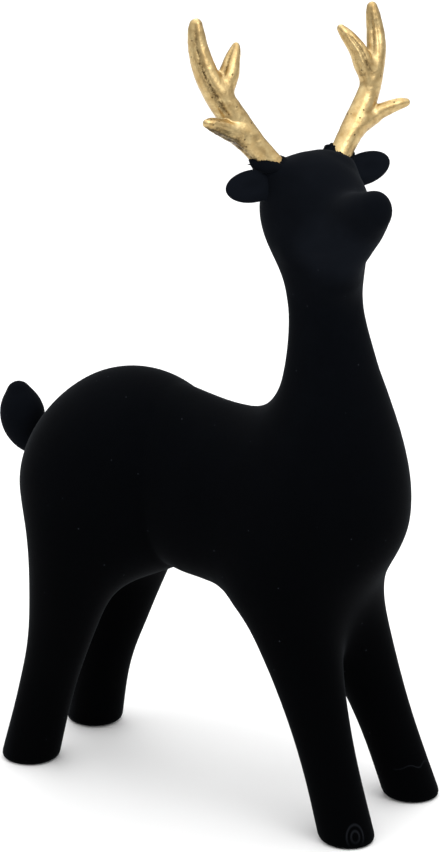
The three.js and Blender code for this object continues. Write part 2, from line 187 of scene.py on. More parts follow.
HEAD_AT = np.array([58.4, -0.2, 315.8])
HEAD_AXES = rotation("z", -29) @ rotation("y", -10.9)
SKULL = (25, 24.3, 26.2)
MUZZLE = [(4, 0, -4, 20), (28, 0, -6.5, 15.5), (51, 0, -0.4, 9.8)]
THROAT = [(50, 0, -5.5, 7.6), (39, 0, -12.5, 9.8), (27, 0, -22, 10.6), (17, 0, -31, 10)]
JAW_EDGE = [(8, 17, -17, 4.5), (26, 13.5, -16.3, 4), (40, 8.5, -12.2, 3.5), (52, 3.5, -6, 3.5)]
NOSE_AT = (59, 0.6, 1)
NOSE_SIZE = (8.2, 7.9, 9.3)
COLLAR = {
    "right": [(-1.1, -14.4, 16.6, 9.4), (-1.7, -19.9, 23.3, 7.2)],
    "left": [(-1.1, 14.2, 17.1, 9.4), (-1.5, 18, 22.4, 7)],
}
# how high each collar is where it starts, how far out that is, and its rise for each millimetre
COLLAR_TOP = {"right": (23.9, 19.4, 0.2), "left": (23.8, 14.4, -0.35)}

NECK_BLEND = 23.5
HEAD_BLEND = 16
FRONT_LEG_BLEND = 30
REAR_LEG_BLEND = 24
TAIL_BLEND = 5
MUZZLE_BLEND = 14
THROAT_BLEND = 10
JAW_BLEND = 5
NOSE_BLEND = 4
COLLAR_BLEND = 8
COLLAR_TOP_BLEND = 5

SPAN_STEPS = 6
OUT_OF_REACH = 42.0
SLOPE_STEP = 0.02
LEAST_SQUARE = 0.04
COARSE_STEP = 4
EVENING_PASSES = 3
SIDES = {"right": -1, "left": 1}


def soft_union(a, b, reach):
    """The smaller distance, less a quarter of reach times h squared, where h falls from one to
    zero as the two distances part by reach."""
    h = np.maximum(reach - np.abs(a - b), 0) / reach
    return np.minimum(a, b) - h * h * reach * 0.25


def soft_common(a, b, reach):
    """The larger distance, eased in the same way as soft_union."""
    return -soft_union(-a, -b, reach)


def smooth_line(stations):
    """A Catmull-Rom curve through the stations, cut into six straight spans between each two."""
    rows = np.asarray(stations, float)
    rows = np.vstack([2 * rows[0] - rows[1], rows, 2 * rows[-1] - rows[-2]])
    t = (np.arange(SPAN_STEPS) / SPAN_STEPS)[:, None]
    spans = [
        0.5 * (
            2 * b + (c - a) * t
            + (2 * a - 5 * b + 4 * c - d) * t ** 2
            + (3 * b - a - 3 * c + d) * t ** 3
        )
        for a, b, c, d in zip(rows, rows[1:], rows[2:], rows[3:])
    ]
    return np.vstack([*spans, rows[-2]])


def cone_touch(points, start, end):
    """For the round cone between two balls: how far along its axis the ball that each point is
    nearest to sits, and the distance to that ball. The nearest ball lies back from the foot of the
    point by the distance across times the lean of the cone's side."""
    along = end[:3] - start[:3]
    length = np.linalg.norm(along)
    taper = (start[3] - end[3]) / length
    lean = taper / np.sqrt(1 - taper ** 2)
    offset = points - start[:3]
    foot = offset @ along / length
    across = np.sqrt(np.maximum(np.einsum("ij,ij->i", offset, offset) - foot ** 2, 0))
    ball = np.clip(foot - lean * across, 0, length)
    return ball / length, np.sqrt(across ** 2 + (foot - ball) ** 2) - start[3] + taper * ball


def limb(points, stations, narrowing=1.0):
    """Distance to a rod round a smooth line, the least over its round cones. Narrowing squeezes
    the rod from side to side. Points far outside the rod's box only get a large distance."""
    squeeze = np.array([1, 1 / narrowing, 1, 1])
    line = smooth_line(stations) * squeeze
    at = points * squeeze[:3]
    low = (line[:, :3] - line[:, 3:]).min(axis=0) - OUT_OF_REACH
    high = (line[:, :3] + line[:, 3:]).max(axis=0) + OUT_OF_REACH
    close = ((at > low) & (at < high)).all(axis=1)
    nearest = np.full(len(points), OUT_OF_REACH)
    for start, end in zip(line, line[1:]):
        nearest[close] = np.minimum(nearest[close], cone_touch(at[close], start, end)[1])
    return nearest


def ellipsoid(points, centre, radii):
    """Near distance to an ellipsoid: k (k - 1) over the length of the scaled slope, where k is the
    length of the point measured in radii."""
    scaled = (points - np.asarray(centre)) / radii
    k = np.sqrt(np.einsum("ij,ij->i", scaled, scaled))
    slope = scaled / radii
    return k * (k - 1) / np.maximum(np.sqrt(np.einsum("ij,ij->i", slope, slope)), 1e-9)


def in_middle(stations):
    """Stations of (x, height, radius), put in the middle plane."""
    return [(x, 0, z, radius) for x, z, radius in stations]


def on_side(side, stations):
    """Stations whose distance from the middle is measured to one side."""
    return [(x, side * y, z, radius) for x, y, z, radius in stations]


def slope_of(form, points):
    """The slope of a distance, and its mean, from its values at four points of a small tetrahedron."""
    arms = np.array([(1, -1, -1), (-1, -1, 1), (-1, 1, -1), (1, 1, 1)])
    values = np.stack([form(points + SLOPE_STEP * arm) for arm in arms])
    return values.T @ arms / (4 * SLOPE_STEP), values.mean(axis=0)


def onto_surface(form, points):
    """Points moved along the slope by their distance over the square of the slope's length, which
    is held above a least value so that no point is thrown far."""
    slope, value = slope_of(form, points)
    square = np.maximum(np.einsum("ij,ij->i", slope, slope), LEAST_SQUARE)
    return points - slope * (value / square)[:, None]


def skin(form, low, high, cell):
    """The closed surface where form is zero, in quads. The distance is taken at the corners of
    small cubes, first on every fourth grid line and then near the surface alone. Each cube that
    the surface crosses has one point, at the mean of its edges' crossings, and each crossed edge
    has a quad between the four cubes round it. The points are then evened out and moved onto
    the surface along the slope of the distance."""
    coarse = COARSE_STEP
    low = np.asarray(low, float)
    counts = (np.ceil((np.asarray(high, float) - low) / (cell * coarse)).astype(int)) * coarse + 1
    lines = [low[axis] + cell * np.arange(counts[axis]) for axis in range(3)]
    sparse = np.stack(np.meshgrid(*[line[::coarse] for line in lines], indexing="ij"), axis=-1)
    value = form(sparse.reshape(-1, 3)).reshape(sparse.shape[:3])
    for axis in range(3):
        value = np.moveaxis(value, axis, 0)
        t = (np.arange(coarse) / coarse)[None, :, None, None]
        filled = value[:-1, None] * (1 - t) + value[1:, None] * t
        filled = filled.reshape(-1, *value.shape[1:])
        value = np.moveaxis(np.concatenate([filled, value[-1:]]), 0, axis)
    near = np.argwhere(np.abs(value) < cell * coarse)
    value[tuple(near.T)] = form(np.stack([lines[axis][near[:, axis]] for axis in range(3)], axis=1))

    inside = value < 0
    corners = [(i, j, k) for i in (0, 1) for j in (0, 1) for k in (0, 1)]
    windows = np.stack([
        inside[i:counts[0] - 1 + i, j:counts[1] - 1 + j, k:counts[2] - 1 + k]
        for i, j, k in corners
    ])
    cells = np.argwhere(windows.any(axis=0) & ~windows.all(axis=0))
    total = np.zeros((len(cells), 3))
    crossings = np.zeros(len(cells))
    for axis in range(3):
        for corner in corners:
            if corner[axis]:
                continue
            start = cells + np.array(corner)
            end = start.copy()
            end[:, axis] += 1
            v0, v1 = value[tuple(start.T)], value[tuple(end.T)]
            crossed = (v0 < 0) != (v1 < 0)
            t = np.where(crossed, v0 / np.where(crossed, v0 - v1, 1), 0)
            place = low + cell * start
            place[:, axis] += cell * t
            total += place * crossed[:, None]
            crossings += crossed
    points = total / crossings[:, None]

    point_of = np.full(counts - 1, -1)
    point_of[tuple(cells.T)] = np.arange(len(cells))
    quads = []
    for axis in range(3):
        b, c = (axis + 1) % 3, (axis + 2) % 3
        step = np.eye(3, dtype=int)
        first = np.argwhere(np.diff(inside.astype(np.int8), axis=axis) != 0)
        first = first[(first[:, b] > 0) & (first[:, c] > 0)]
        ring = [first - step[b] - step[c], first - step[c], first, first - step[b]]
        ring = np.stack([point_of[tuple(place.T)] for place in ring], axis=1)
        leaving = inside[tuple(first.T)]
        quads.append(np.where(leaving[:, None], ring, ring[:, ::-1]))
    quads = np.concatenate(quads)

    starts = quads.ravel()
    ends = np.roll(quads, -1, axis=1).ravel()
    degree = np.bincount(np.concatenate([starts, ends]), minlength=len(points))
    for _ in range(EVENING_PASSES):
        sums = np.stack([
            np.bincount(starts, points[ends, axis], len(points))
            + np.bincount(ends, points[starts, axis], len(points))
            for axis in range(3)
        ], axis=1)
        points = onto_surface(form, 0.5 * points + 0.5 * sums / degree[:, None])
    return onto_surface(form, points), quads


def smooth_piece(name, points_mm, faces, material, slot, *nodes, **marks):
    """A mesh object at the origin, its points in the frame's metres, shaded smooth, on the root
    body. Each mark is a number for every point, kept as an attribute that the material reads."""
    mesh = bpy.data.meshes.new(name)
    mesh.from_pydata(in_frame(points_mm).tolist(), [], [list(face) for face in faces])
    mesh.shade_smooth()
    mesh.materials.append(material)
    piece = bpy.data.objects.new(name, mesh)
    bpy.context.collection.objects.link(piece)
    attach(piece, "root")
    if nodes:
        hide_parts(*nodes)
    for mark, values in marks.items():
        attribute = mesh.attributes.new(mark, "FLOAT", "POINT")
        attribute.data.foreach_set("value", np.asarray(values, np.float32))


def head(local):
    """Distance to the skull with its muzzle, throat, jaw edges and ball of a nose, in the head's
    own frame."""
    face = soft_union(ellipsoid(local, (0, 0, 0), SKULL), limb(local, MUZZLE), MUZZLE_BLEND)
    face = soft_union(face, limb(local, THROAT), THROAT_BLEND)
    for side in SIDES.values():
        face = soft_union(face, limb(local, on_side(side, JAW_EDGE)), JAW_BLEND)
    return soft_union(face, ellipsoid(local, NOSE_AT, NOSE_SIZE), NOSE_BLEND)


def collar(local, side):
    """Distance to the stump round an antler's socket, cut off along a sloping top."""
    height, start, rise = COLLAR_TOP[side]
    top = height + rise * (SIDES[side] * local[:, 1] - start)
    return soft_common(limb(local, COLLAR[side]), local[:, 2] - top, COLLAR_TOP_BLEND)


def deer(points):
    """Distance to the whole casting, run together from its forms, down to the soles at zero."""
    local = (points - HEAD_AT) @ HEAD_AXES
    trunk = limb(points, in_middle(TRUNK), TRUNK_NARROWING)
    form = soft_union(trunk, limb(points, in_middle(NECK)), NECK_BLEND)
    form = soft_union(form, head(local), HEAD_BLEND)
    for stations, blend in ((FRONT_LEG, FRONT_LEG_BLEND), (REAR_LEG, REAR_LEG_BLEND)):
        for side in SIDES.values():
            form = soft_union(form, limb(points, on_side(side, stations)), blend)
    form = soft_union(form, limb(points, in_middle(TAIL)), TAIL_BLEND)
    for side in SIDES:
        form = soft_union(form, collar(local, side), COLLAR_BLEND)
    return soft_common(form, -points[:, 2], SOLE_EDGE)


def put(tree, kind, sockets=None, **settings):
    """A shader node of this kind with its settings. A socket that is given another node's output
    is joined to it, and any other socket gets its value."""
    made = tree.nodes.new("ShaderNode" + kind)
    for name, value in settings.items():
        setattr(made, name, value)
    for name, value in (sockets or {}).items():
        if isinstance(value, bpy.types.NodeSocket):
            tree.links.new(value, made.inputs[name])
        else:
            made.inputs[name].default_value = value
    return made


def new_material(name):
    """A material with its node tree, its Principled shader and its Object coordinates."""
    material = bpy.data.materials.new(name)
    material.use_nodes = True
    tree = material.node_tree
    return material, tree, tree.nodes["Principled BSDF"], put(tree, "TexCoord").outputs["Object"]


SPECKLE_CORE = 0.66


def speckle_group():
    """Scattered small spots: one where the distance to a random point of each cube is under the
    spot's size, kept in the given share of the cubes, with an edge that fades over a third."""
    tree = bpy.data.node_groups.new("speckles", "ShaderNodeTree")
    kinds = {"Vector": "Vector", "Scale": "Float", "Size": "Float", "Share": "Float"}
    for name, kind in kinds.items():
        tree.interface.new_socket(name, in_out="INPUT", socket_type="NodeSocket" + kind)
    tree.interface.new_socket("Mask", in_out="OUTPUT", socket_type="NodeSocketFloat")
    given = tree.nodes.new("NodeGroupInput")
    result = tree.nodes.new("NodeGroupOutput")
    spots = put(tree, "TexVoronoi", {
        "Vector": given.outputs["Vector"],
        "Scale": given.outputs["Scale"],
    })
    inner = put(tree, "Math", {0: given.outputs["Size"], 1: SPECKLE_CORE}, operation="MULTIPLY")
    spot = put(tree, "MapRange", {
        "Value": spots.outputs["Distance"],
        "From Min": given.outputs["Size"],
        "From Max": inner.outputs["Value"],
    })
    draw = put(tree, "SeparateColor", {"Color": spots.outputs["Color"]})
    chance = {0: draw.outputs["Red"], 1: given.outputs["Share"]}
    kept = put(tree, "Math", chance, operation="LESS_THAN")
    both = {0: spot.outputs["Result"], 1: kept.outputs["Value"]}
    mask = put(tree, "Math", both, operation="MULTIPLY")
    tree.links.new(mask.outputs["Value"], result.inputs["Mask"])
    return tree


speckles = speckle_group()


def put_speckles(tree, place, scale, size, share):
    """The speckle group's mask in a material, with its scale, spot size and share of the cubes."""
    group = tree.nodes.new("ShaderNodeGroup")
    group.node_tree = speckles
    tree.links.new(place, group.inputs["Vector"])
    group.inputs["Scale"].default_value = scale
    group.inputs["Size"].default_value = size
    group.inputs["Share"].default_value = share
    return group.outputs["Mask"]


def put_mix(tree, share, first, second):
    """The colour that runs from the first to the second as the share runs from zero to one."""
    sockets = {"Factor": share, "A": first, "B": second}
    return put(tree, "Mix", sockets, data_type="RGBA").outputs["Result"]


def put_times(tree, first, second):
    """The product of two values."""
    return put(tree, "Math", {0: first, 1: second}, operation="MULTIPLY").outputs["Value"]


def put_band(tree, value, middle, half_width):
    """A mask that is one where the value is at the middle and fades to zero half a width away."""
    away = put(tree, "Math", {0: value, 1: middle}, operation="SUBTRACT")
    size = put(tree, "Math", {0: away.outputs["Value"]}, operation="ABSOLUTE")
    return put(tree, "MapRange", {
        "Value": size.outputs["Value"],
        "From Min": half_width,
        "From Max": 0.0,
    }).outputs["Result"]


FLOCK_BASE = (0.0002, 0.0003, 0.0005, 1)
# the flock's colour where the painted light is fullest, paler and bluer than its base
FLOCK_PAINTED_LIGHT = (0.0042, 0.0054, 0.0080, 1)
FLOCK_LINT = (0.016, 0.018, 0.022, 1)
MARK_STRENGTH = 0.5
ARCHES_AT = (109.6, -40.9, 6.3)
ARCHES_REACH = (4.4, 4.4, 6.6)
OUTER_ARCH = 1.0
INNER_ARCH = 0.5
ARCH_HALF_WIDTH = 0.16
# the height over which the arches appear, in shares of their reach
ARCHES_FROM = -0.7
ARCHES_TO = 0.1
WAVE_MIDDLE = 26.5
WAVE_HALF_SPAN = 13
WAVE_HALF_WIDTH = 0.5
WAVE_FRONT = 98
WAVE_HEIGHT = 19.6
WAVE_SWING = 0.9
WAVE_LENGTH = 9.0


def black_flock():
    """Short black fibres: almost no colour, a soft rim, painted light that makes them paler and
    bluer higher up, on the tail, the ears and under the throat, uneven with noise, specks of lint,
    and the two marks pressed in the nap of the front feet. The mark on the right foot is
    two arches, shells round one point, and the one on the left foot is a wave, a height that
    swings with the place across."""
    material, tree, shader, place = new_material("black_flock")
    shader.inputs["Roughness"].default_value = 1.0
    shader.inputs["Specular IOR Level"].default_value = 0.03
    shader.inputs["Sheen Weight"].default_value = 0.034
    shader.inputs["Sheen Roughness"].default_value = 0.3
    shader.inputs["Sheen Tint"].default_value = (0.78, 0.88, 1.0, 1)
    nap = put(tree, "TexNoise", {"Vector": place, "Scale": 60, "Detail": 6, "Roughness": 0.65})
    # painted light: the paler, bluer colour is mixed in by a per-point amount of painted light, made
    # uneven by noise
    raised = put(tree, "Attribute", attribute_name="raised_nap").outputs["Fac"]
    uneven = put(tree, "MapRange", {"Value": nap.outputs["Fac"], "To Min": 0.6, "To Max": 1.4})
    painted_light_share = put_times(tree, raised, uneven.outputs["Result"])
    colour = put_mix(tree, painted_light_share, FLOCK_BASE, FLOCK_PAINTED_LIGHT)
    lint = put_speckles(tree, place, scale=220, size=0.1, share=0.1)
    colour = put_mix(tree, lint, colour, FLOCK_LINT)

    smudge = put(tree, "VectorMath", {
        0: place,
        1: tuple(in_frame(ARCHES_AT)),
    }, operation="SUBTRACT")
    measured = put(tree, "VectorMath", {
        0: smudge.outputs["Vector"],
        1: tuple(reach * MM for reach in ARCHES_REACH),
    }, operation="DIVIDE")
    length = put(tree, "VectorMath", {0: measured.outputs["Vector"]}, operation="LENGTH")
    distance = length.outputs["Value"]
    outer = put_band(tree, distance, OUTER_ARCH, ARCH_HALF_WIDTH)
    inner = put_band(tree, distance, INNER_ARCH, ARCH_HALF_WIDTH)
    arches = put(tree, "Math", {0: outer, 1: inner}, operation="MAXIMUM").outputs["Value"]
    above = put(tree, "SeparateXYZ", {"Vector": measured.outputs["Vector"]})
    over = put(tree, "MapRange", {
        "Value": above.outputs["Z"],
        "From Min": ARCHES_FROM,
        "From Max": ARCHES_TO,
    })
    arches = put_times(tree, arches, over.outputs["Result"])

    spot = put(tree, "SeparateXYZ", {"Vector": place})
    turns = put_times(tree, spot.outputs["Y"], 2 * np.pi / (WAVE_LENGTH * MM))
    swing = put(tree, "Math", {0: turns}, operation="SINE").outputs["Value"]
    swung = {0: swing, 1: WAVE_SWING * MM, 2: WAVE_HEIGHT * MM}
    crest = put(tree, "Math", swung, operation="MULTIPLY_ADD")
    gap = {0: spot.outputs["Z"], 1: crest.outputs["Value"]}
    rise = put(tree, "Math", gap, operation="SUBTRACT")
    line = put_band(tree, rise.outputs["Value"], 0.0, WAVE_HALF_WIDTH * MM)
    middle = in_frame((0, WAVE_MIDDLE, 0))[1]
    span = put_band(tree, spot.outputs["Y"], middle, WAVE_HALF_SPAN * MM)
    line = put_times(tree, line, span)
    front = {0: spot.outputs["X"], 1: in_frame((WAVE_FRONT, 0, 0))[0]}
    facing = put(tree, "Math", front, operation="GREATER_THAN")
    line = put_times(tree, line, facing.outputs["Value"])
    marks = put(tree, "Math", {0: arches, 1: line}, operation="MAXIMUM").outputs["Value"]
    colour = put_mix(tree, put_times(tree, marks, MARK_STRENGTH), colour, FLOCK_LINT)
    tree.links.new(colour, shader.inputs["Base Color"])

    fibres = put(tree, "TexNoise", {"Vector": place, "Scale": 2600, "Detail": 3})
    relief = put(tree, "Bump", {
        "Height": fibres.outputs["Fac"],
        "Strength": 0.35,
        "Distance": 0.0002,
    })
    tree.links.new(relief.outputs["Normal"], shader.inputs["Normal"])
    return material


# Painted light on the flock: paler with height, as if lit from above, and paler on the tail and under the
# throat, where it stands for light thrown up from the floor
PAINTED_LIGHT_LEAST = 0.02
PAINTED_LIGHT_AT_TOP = 0.68
PAINTED_LIGHT_ON_TAIL = 0.45
PAINTED_FLOOR_LIGHT_UNDER_THROAT = 0.6
PAINTED_LIGHT_LOWEST = 60
PAINTED_LIGHT_HEIGHT = 280
TAIL_FROM = -95
TAIL_RUN = 15
UNDER_THROAT_AT = (32, -4, -18)
UNDER_THROAT_SIZE = (14, 14, 10)
UNDER_THROAT_RUN = 12


def raised_nap(points):
    """How much painted light the flock gets, which makes it paler: a least value, plus painted top
    light as the square of the share of the height, plus shares of painted light that grow backwards
    over the tail and towards an ellipsoid under the throat, where it stands for the floor's light."""
    share = np.clip((points[:, 2] - PAINTED_LIGHT_LOWEST) / PAINTED_LIGHT_HEIGHT, 0, 1)
    tail = np.clip((TAIL_FROM - points[:, 0]) / TAIL_RUN, 0, 1)
    local = (points - HEAD_AT) @ HEAD_AXES
    away = ellipsoid(local, UNDER_THROAT_AT, UNDER_THROAT_SIZE)
    throat = np.clip(1 - away / UNDER_THROAT_RUN, 0, 1)
    return PAINTED_LIGHT_LEAST + PAINTED_LIGHT_AT_TOP * share ** 2 + PAINTED_LIGHT_ON_TAIL * tail + PAINTED_FLOOR_LIGHT_UNDER_THROAT * throat


flock = black_flock()
points, quads = skin(deer, BODY_LOW, BODY_HIGH, BODY_CELL)
# the body carries its painted light as a number for every point
smooth_piece(
    "flocked_deer", points, quads, flock, "black_flock", "flocked_body", raised_nap=raised_nap(points),
)


# Ears
# Two thin leaves cast with the head and hollowed in front, under the same flock.
# Each is a finer mesh that flares at its root and runs in just under the skin of the head.
EAR_CELL = 0.65
EAR_AT = {"right": (-0.8, -31.6, 14.1), "left": (-0.8, 30.6, 14.6)}
EAR_TILT = {"right": 0, "left": 9}
EAR_SIZE = (3.3, 15.4, 8.1)
EAR_DISH_OFFSET = (10, 1, 0)
EAR_DISH_SIZE = (8, 12.3, 7.0)
EAR_RIM_BLEND = 1
EAR_BLEND = 4
EAR_ROOT_DEPTH = 0.35
EAR_KEPT = (8, 20, 13)
EAR_KEPT_BLEND = 1
EAR_ROOM = (12, 22, 17)
# painted light: the ears get this many times the flock's painted light where they stand
EAR_PAINTED_LIGHT = 3.6


def ear(local, side):
    """Distance to a flat ellipsoid, tilted about the head's length, with a second one scooped from
    its front. The root is run together with the head, taken a little inside its skin, and all of
    it is kept within an ellipsoid round the ear."""
    middle = np.array(EAR_AT[side])
    own = (local - middle) @ rotation("x", SIDES[side] * EAR_TILT[side])
    dish = np.array(EAR_DISH_OFFSET) * (1, SIDES[side], 1)
    scoop = ellipsoid(own, dish, EAR_DISH_SIZE)
    leaf = soft_common(ellipsoid(own, (0, 0, 0), EAR_SIZE), -scoop, EAR_RIM_BLEND)
    flared = soft_union(leaf, head(local) + EAR_ROOT_DEPTH, EAR_BLEND)
    return soft_common(flared, ellipsoid(own, (0, 0, 0), EAR_KEPT), EAR_KEPT_BLEND)


for side in SIDES:
    middle = np.array(EAR_AT[side])
    points, quads = skin(lambda local: ear(local, side), middle - EAR_ROOM, middle + EAR_ROOM, EAR_CELL)
    points = points @ HEAD_AXES.T + HEAD_AT
    # painted light on the ears, stronger than on the head beside them
    nap = EAR_PAINTED_LIGHT * raised_nap(points)
    smooth_piece(f"flocked_{side}_ear", points, quads, flock, "black_flock", raised_nap=nap)


# Gilded antlers
# Two resin castings covered in gold leaf: a beam, an inner tine and a low outer tine, fluted.
# Each is glued in a socket in the head; the leaf is worn brown in the flutes and pits, and painted shade
# darkens it where it faces down.
ANTLER_CELL = 0.55
ANTLERS = {
    "right": {
        "beam": [
            (-2, 22.4, 26.2, 6.3),
            (-4.1, 30.2, 36.7, 6.9),
            (-6.2, 37.7, 50, 7.2),
            (-7.3, 43.7, 60.7, 6.8),
            (-9.1, 48, 71.8, 6.1),
            (-10.4, 49.7, 82.5, 5.2),
            (-10.6, 50, 90.2, 4.4),
            (-10.4, 49.8, 94.2, 3.3),
        ],
        "inner": [
            (-7, 40.9, 60.5, 5.5),
            (-7.2, 36.5, 67.8, 5.2),
            (-8.2, 33.3, 74.8, 4.2),
            (-8.9, 30.8, 79.4, 3),
            (-9.2, 29.7, 81.8, 2),
        ],
        "outer": [
            (-4.8, 34.5, 43, 5.2),
            (-2.3, 41.2, 42.6, 5),
            (-0.3, 46.4, 44.2, 4.4),
            (2.3, 52.6, 46.7, 3.5),
            (3.3, 55.8, 47.6, 2.4),
        ],
    },
    "left": {
        "beam": [
            (-2.1, 20.6, 25.8, 5.9),
            (-3.6, 28.3, 35.5, 6.2),
            (-5, 34.8, 43.4, 6.1),
            (-5.6, 38.7, 49.3, 5.8),
            (-5.8, 42.3, 56.8, 5.5),
            (-7.9, 47.4, 69.9, 5.2),
            (-10, 49.2, 79.6, 4.7),
            (-10.2, 49, 87.7, 3.9),
            (-10.1, 48.8, 92.2, 2.9),
        ],
        "inner": [
            (-5.3, 41.2, 58.2, 4.8),
            (-5.6, 38.6, 65, 5),
            (-6.6, 36.6, 72.2, 4.5),
            (-8.3, 32.4, 79.8, 3.4),
            (-9.3, 29.6, 83.8, 2.1),
        ],
        "outer": [
            (-4.9, 34.1, 39.2, 4.9),
            (-3.8, 37.9, 39.3, 4.5),
            (-1.7, 44.1, 41.8, 4),
            (1.5, 52.1, 44.2, 3.2),
            (2.8, 56, 44.5, 2.1),
        ],
    },
}
SHANK_LENGTH = 6
INNER_TINE_BLEND = 2.5
# the low tine meets the beam in a sharp crease above and in a wide web below this height
OUTER_TINE_CREASE = 1.2
OUTER_TINE_WEB = 8
OUTER_TINE_HEIGHT = {"right": 42.5, "left": 39.5}
OUTER_TINE_RUN = 7
ROOT_EDGE = 1.0
ROOM_BELOW = (9, 13, 14)
ROOM_ABOVE = (9, 13, 8)
# each flute: the angle of its middle from the front, towards the outside, its depth, its half
# width, and where along the rod it starts and ends
FLUTES = {
    "right": {
        "beam": [
            (34, 0.2, 24, 0.36, 1), (78, 0.08, 26, 0, 0.42),
            (140, 0.12, 32, 0, 1), (-75, 0.08, 30, 0, 1),
        ],
        "inner": [(56, 0.22, 26, 0.1, 0.95), (-120, 0.12, 32, 0, 1)],
        "outer": [(-60, 0.1, 30, 0, 1), (70, 0.08, 24, 0, 1), (120, 0.12, 30, 0, 1)],
    },
    "left": {
        "beam": [
            (-46, 0.17, 26, 0.6, 1), (-8, 0.09, 20, 0.62, 1),
            (140, 0.12, 32, 0, 1), (-120, 0.12, 28, 0, 1),
        ],
        "inner": [(-4, 0.2, 26, 0, 0.8), (-60, 0.08, 22, 0, 1), (130, 0.12, 32, 0, 1)],
        "outer": [(40, 0.06, 30, 0, 1), (-110, 0.12, 32, 0, 1)],
    },
}
FLUTE_FADE = 0.12
FLUTE_POWER = 1.6
CLOUD_CUBES = 32
LEAF_SWELL = 0.12
SWELL_STRETCH = (1, 1, 0.45)
LEAF_CREASE = 0.12
CREASE_POWER = 9
LEAF_CRUMPLE = 0.045
# the casting is set in by this much under the leaf's relief
LEAF_INSET = 0.15


def cloud(points, size, seed):
    """Smooth noise: seeded values at the corners of cubes of this size, eased between them along
    each axis by three t squared less two t cubed."""
    table = np.random.default_rng(seed).uniform(-1, 1, (CLOUD_CUBES, CLOUD_CUBES, CLOUD_CUBES))
    at = points / size
    cube = np.floor(at).astype(int)
    t = at - cube
    t = t * t * (3 - 2 * t)
    total = np.zeros(len(points))
    for corner in np.ndindex(2, 2, 2):
        weight = np.where(corner, t, 1 - t).prod(axis=1)
        total += weight * table[tuple(((cube + np.array(corner)) % CLOUD_CUBES).T)]
    return total


def fluting(angle, place, flutes):
    """Share of the radius cut away at an angle and a place along the rod: over each flute, its
    depth times one less the distance from its middle, to a power that keeps its bottom narrow,
    fading at its two ends."""
    cut = np.zeros_like(angle)
    for middle, depth, half_width, first, last in flutes:
        turn = angle - np.radians(middle)
        away = np.abs(np.arctan2(np.sin(turn), np.cos(turn))) / np.radians(half_width)
        fade = np.clip(np.minimum(place - first, last - place) / FLUTE_FADE, 0, 1)
        cut += depth * fade * np.maximum(0, 1 - away) ** FLUTE_POWER
    return cut


def rod(points, stations, side, flutes):
    """Distance to a fluted rod round a smooth line, and how deep the flute is there. Each point
    belongs to its nearest round cone."""
    line = smooth_line(stations)
    spans = [cone_touch(points, start, end) for start, end in zip(line, line[1:])]
    touch = np.stack([span[0] for span in spans])
    away = np.stack([span[1] for span in spans])
    chosen = away.argmin(axis=0)
    each = np.arange(len(points))
    t, nearest = touch[chosen, each], away[chosen, each]
    along = np.diff(line[:, :3], axis=0)
    along /= np.linalg.norm(along, axis=1)[:, None]
    front = np.array([1.0, 0, 0]) - along[:, :1] * along
    front /= np.linalg.norm(front, axis=1)[:, None]
    across = np.cross(along, front)
    offset = points - line[chosen, :3]
    angle = side * np.arctan2(
        np.einsum("ij,ij->i", offset, across[chosen]),
        np.einsum("ij,ij->i", offset, front[chosen]),
    )
    radius = line[chosen, 3] + (line[chosen + 1, 3] - line[chosen, 3]) * t
    cut = radius * fluting(angle, (chosen + t) / len(along), flutes)
    return nearest + cut, cut


def leaf_relief(local):
    """How far the leaf stands proud: a slow swell, thin creases where one noise passes zero, and
    a finer crumple."""
    swell = LEAF_SWELL * cloud(local * SWELL_STRETCH, size=3.6, seed=11)
    crease = LEAF_CREASE * (1 - np.abs(cloud(local, size=4.2, seed=12))) ** CREASE_POWER
    crumple = LEAF_CRUMPLE * cloud(local, size=1.3, seed=13)
    return swell + crease + crumple


def antler_forms(local, side):
    """The distance to one antler, its three rods run together softly, less the leaf's relief and
    cut off flat at its root, and the depth of its flutes."""
    parts = ANTLERS[side]
    beam = np.array(on_side(SIDES[side], parts["beam"]))
    outward = beam[1, :3] - beam[0, :3]
    outward /= np.linalg.norm(outward)
    end = np.append(beam[0, :3] - SHANK_LENGTH * outward, beam[0, 3])
    form, flute = rod(local, np.vstack([end, beam]), SIDES[side], FLUTES[side]["beam"])
    for tine in ("inner", "outer"):
        stations = on_side(SIDES[side], parts[tine])
        other, other_flute = rod(local, stations, SIDES[side], FLUTES[side][tine])
        flute = np.where(other < form, other_flute, flute)
        below = np.clip(0.5 - (local[:, 2] - OUTER_TINE_HEIGHT[side]) / OUTER_TINE_RUN, 0, 1)
        web = OUTER_TINE_CREASE + (OUTER_TINE_WEB - OUTER_TINE_CREASE) * below
        form = soft_union(form, other, web if tine == "outer" else INNER_TINE_BLEND)
    form = form + LEAF_INSET - leaf_relief(local)
    return soft_common(form, -(local - end[:3]) @ outward, ROOT_EDGE), flute


# painted shade: the leaf is darkened where its surface faces down, strongly on the right antler and a
# little on the left
UNDERSIDE_PAINTED_SHADE = {"right": 1.3, "left": 0.3}
PAINTED_SHADE_FROM = 0.15
FLUTE_WEAR = 1.1
PIT_STAIN = 0.8
PIT_DEPTH = -1.2
GOLD_SHADE = (0.40, 0.262, 0.105, 1)
GOLD_PALE = (0.64, 0.49, 0.245, 1)
# the brown of worn leaf, also used as painted shade on the undersides
GOLD_WORN_AND_SHADED = (0.085, 0.055, 0.022, 1)


